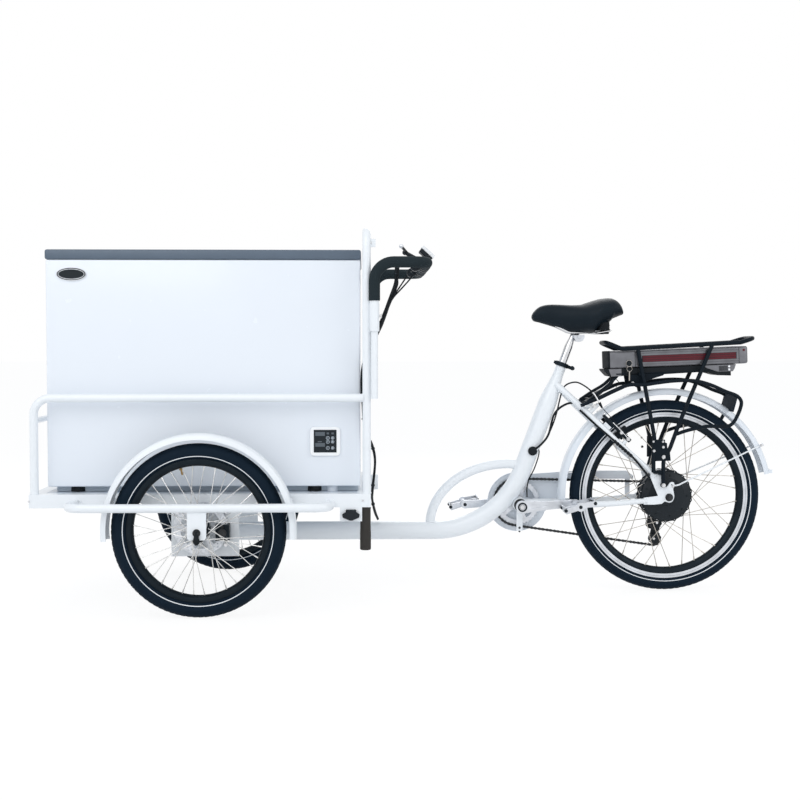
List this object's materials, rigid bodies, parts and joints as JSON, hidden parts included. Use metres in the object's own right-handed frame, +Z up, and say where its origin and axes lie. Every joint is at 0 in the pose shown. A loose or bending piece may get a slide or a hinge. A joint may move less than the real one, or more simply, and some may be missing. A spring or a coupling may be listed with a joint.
{
  "type": "ice cream tricycle",
  "caption": "Pedal and battery tricycle with a chest freezer on a steered front platform, a push bar, a bent step-through frame, a hub motor and a rack battery.",
  "frame": {"origin": "on the ground at the centre of the tricycle's plan, under the frame tube", "axes": "+X to the rear wheel, +Y to the rider's right, +Z up"},
  "size_m": [2.308, 0.979, 1.1374],
  "materials": {
    "white_paint": "gloss powder coat",
    "grey_paint": "satin sheet",
    "silver_paint": "satin silver",
    "black_paint": "satin powder coat",
    "black_rim": "black anodised",
    "black_alloy": "satin black",
    "silver_alloy": "brushed",
    "plated_steel": "bright plate",
    "spoke_steel": "bright",
    "drive_steel": "oiled dark steel",
    "black_plastic": "fine grain",
    "grey_plastic": "satin",
    "battery_grey": "anodised extrusion",
    "freezer_white": "coated sheet over foam",
    "freezer_liner": "moulded liner",
    "panel_white": "moulded bezel",
    "slate_lid": "satin slate",
    "tyre_rubber": "moulded tread",
    "foam_black": "closed-cell foam",
    "brown_rubber": "matte",
    "cable_black": "satin sheath",
    "saddle_black": "grained vinyl"
  },
  "bodies": {
    "frame": {"main_frame": "white_paint", "kingpin": "plated_steel", "left_stays": "white_paint", "right_stays": "white_paint", "seat_collar": "black_alloy", "rear_mudguard": "silver_paint", "rear_rack": "black_paint", "battery_dock": "black_plastic", "chain": "drive_steel", "chain_guard": "grey_plastic", "derailleur": "black_alloy", "rear_axle": "plated_steel", "frame_cables": "cable_black"},
    "front_unit": {"platform_frame": "white_paint", "platform_floor": "grey_paint", "left_front_axle": "plated_steel", "right_front_axle": "plated_steel", "left_guard_bar": "white_paint", "right_guard_bar": "white_paint", "left_front_mudguard": "white_paint", "right_front_mudguard": "white_paint", "left_steering_stop": "brown_rubber", "right_steering_stop": "brown_rubber", "left_brake_caliper": "black_alloy", "right_brake_caliper": "black_alloy", "cargo_rail": "white_paint", "rear_hoop": "white_paint", "freezer_body": "freezer_white", "freezer_liner": "freezer_liner", "control_panel": "panel_white", "compressor": "black_paint", "control_cables": "cable_black"},
    "handlebar": {"push_bar": "white_paint", "bar_foam": "foam_black", "display": "black_plastic"},
    "left_lever": {"left_brake_lever": "silver_alloy"},
    "right_lever": {"right_brake_lever": "silver_alloy"},
    "lid": {"freezer_lid": "slate_lid"},
    "charge_flap": {"socket_cover": "brown_rubber"},
    "left_wheel": {"left_front_tyre": "tyre_rubber", "left_front_rim": "black_rim", "left_front_hub": "spoke_steel"},
    "right_wheel": {"right_front_tyre": "tyre_rubber", "right_front_rim": "black_rim", "right_front_hub": "spoke_steel"},
    "rear_wheel": {"rear_tyre": "tyre_rubber", "rear_rim": "black_rim", "hub_motor": "spoke_steel"},
    "freewheel_body": {"freewheel": "drive_steel"},
    "crankset": {"left_crank": "silver_alloy", "right_crank": "silver_alloy"},
    "left_pedal_body": {"left_pedal": "silver_alloy"},
    "right_pedal_body": {"right_pedal": "silver_alloy"},
    "left_arm": {"left_brake_arm": "black_alloy"},
    "right_arm": {"right_brake_arm": "black_alloy"},
    "seat": {"seat_post": "plated_steel", "saddle": "saddle_black"},
    "collar_lever": {"seat_lever": "black_alloy"},
    "battery_pack": {"battery": "battery_grey"}
  },
  "joints": [
    {"name": "steering", "type": "hinge", "parent": "frame", "child": "front_unit", "pos_m": [-0.646, 0, 0.25242], "axis": [0, 0, 1], "range_deg": [-29.5, 29.5]},
    {"name": "push_bar_height", "type": "slide", "parent": "front_unit", "child": "handlebar", "axis": [0, 0, 1], "range_m": [0, 0.12]},
    {"name": "left_lever_pull", "type": "hinge", "parent": "handlebar", "child": "left_lever", "pos_m": [-0.01953, -0.11, 1.06729], "axis": [0.6018, 0, 0.7986], "range_deg": [0, 17], "stiffness_Nm_per_rad": 1},
    {"name": "right_lever_pull", "type": "hinge", "parent": "handlebar", "child": "right_lever", "pos_m": [-0.01953, 0.11, 1.06729], "axis": [-0.6018, 0, -0.7986], "range_deg": [0, 17], "stiffness_Nm_per_rad": 1},
    {"name": "left_arm_squeeze", "type": "hinge", "parent": "frame", "child": "left_arm", "pos_m": [0.67558, -0.062, 0.49136], "axis": [-0.6948, 0, -0.7192], "range_deg": [0, 3.8]},
    {"name": "right_arm_squeeze", "type": "hinge", "parent": "frame", "child": "right_arm", "pos_m": [0.67558, 0.062, 0.49136], "axis": [0.6948, 0, 0.7192], "range_deg": [0, 3.8]},
    {"name": "lid_hinge", "type": "hinge", "parent": "front_unit", "child": "lid", "pos_m": [-0.6445, 0.2988, 1.0513], "axis": [-1, 0, 0], "range_deg": [0, 85]},
    {"name": "flap_hinge", "type": "hinge", "parent": "front_unit", "child": "charge_flap", "pos_m": [-0.205, -0.3558, 0.3025], "axis": [-1, 0, 0], "range_deg": [0, 100]},
    {"name": "left_wheel_spin", "type": "hinge", "parent": "front_unit", "child": "left_wheel", "pos_m": [-0.646, -0.42, 0.25242], "axis": [0, 1, 0], "continuous": true},
    {"name": "right_wheel_spin", "type": "hinge", "parent": "front_unit", "child": "right_wheel", "pos_m": [-0.646, 0.42, 0.25242], "axis": [0, 1, 0], "continuous": true},
    {"name": "rear_wheel_spin", "type": "hinge", "parent": "frame", "child": "rear_wheel", "pos_m": [0.807, 0, 0.30519], "axis": [0, 1, 0], "continuous": true},
    {"name": "crank_spin", "type": "hinge", "parent": "frame", "child": "crankset", "pos_m": [0.336, 0, 0.277], "axis": [0, 1, 0], "continuous": true},
    {"name": "left_pedal_spin", "type": "hinge", "parent": "crankset", "child": "left_pedal_body", "pos_m": [0.50563, -0.0933, 0.28827], "axis": [0, 1, 0], "continuous": true},
    {"name": "right_pedal_spin", "type": "hinge", "parent": "crankset", "child": "right_pedal_body", "pos_m": [0.16637, 0.0933, 0.26573], "axis": [0, 1, 0], "continuous": true},
    {"name": "freewheel_spin", "type": "hinge", "parent": "frame", "child": "freewheel_body", "pos_m": [0.807, 0.052, 0.30519], "axis": [0, 1, 0], "continuous": true},
    {"name": "seat_height", "type": "slide", "parent": "frame", "child": "seat", "axis": [0.3502, 0, 0.9367], "range_m": [-0.02, 0.1]},
    {"name": "seat_lever_turn", "type": "hinge", "parent": "frame", "child": "collar_lever", "pos_m": [0.50602, 0, 0.71537], "axis": [0.3502, 0, 0.9367], "range_deg": [0, 150]},
    {"name": "battery_slide", "type": "slide", "parent": "frame", "child": "battery_pack", "axis": [0.9993, 0, 0.0384], "range_m": [0, 0.4]}
  ],
  "couplings": [
    {"joint": "left_arm_squeeze", "follows": "right_lever_pull", "ratio": 0.22},
    {"joint": "right_arm_squeeze", "follows": "right_lever_pull", "ratio": 0.22},
    {"joint": "freewheel_spin", "follows": "crank_spin", "ratio": 2.1038}
  ]
}
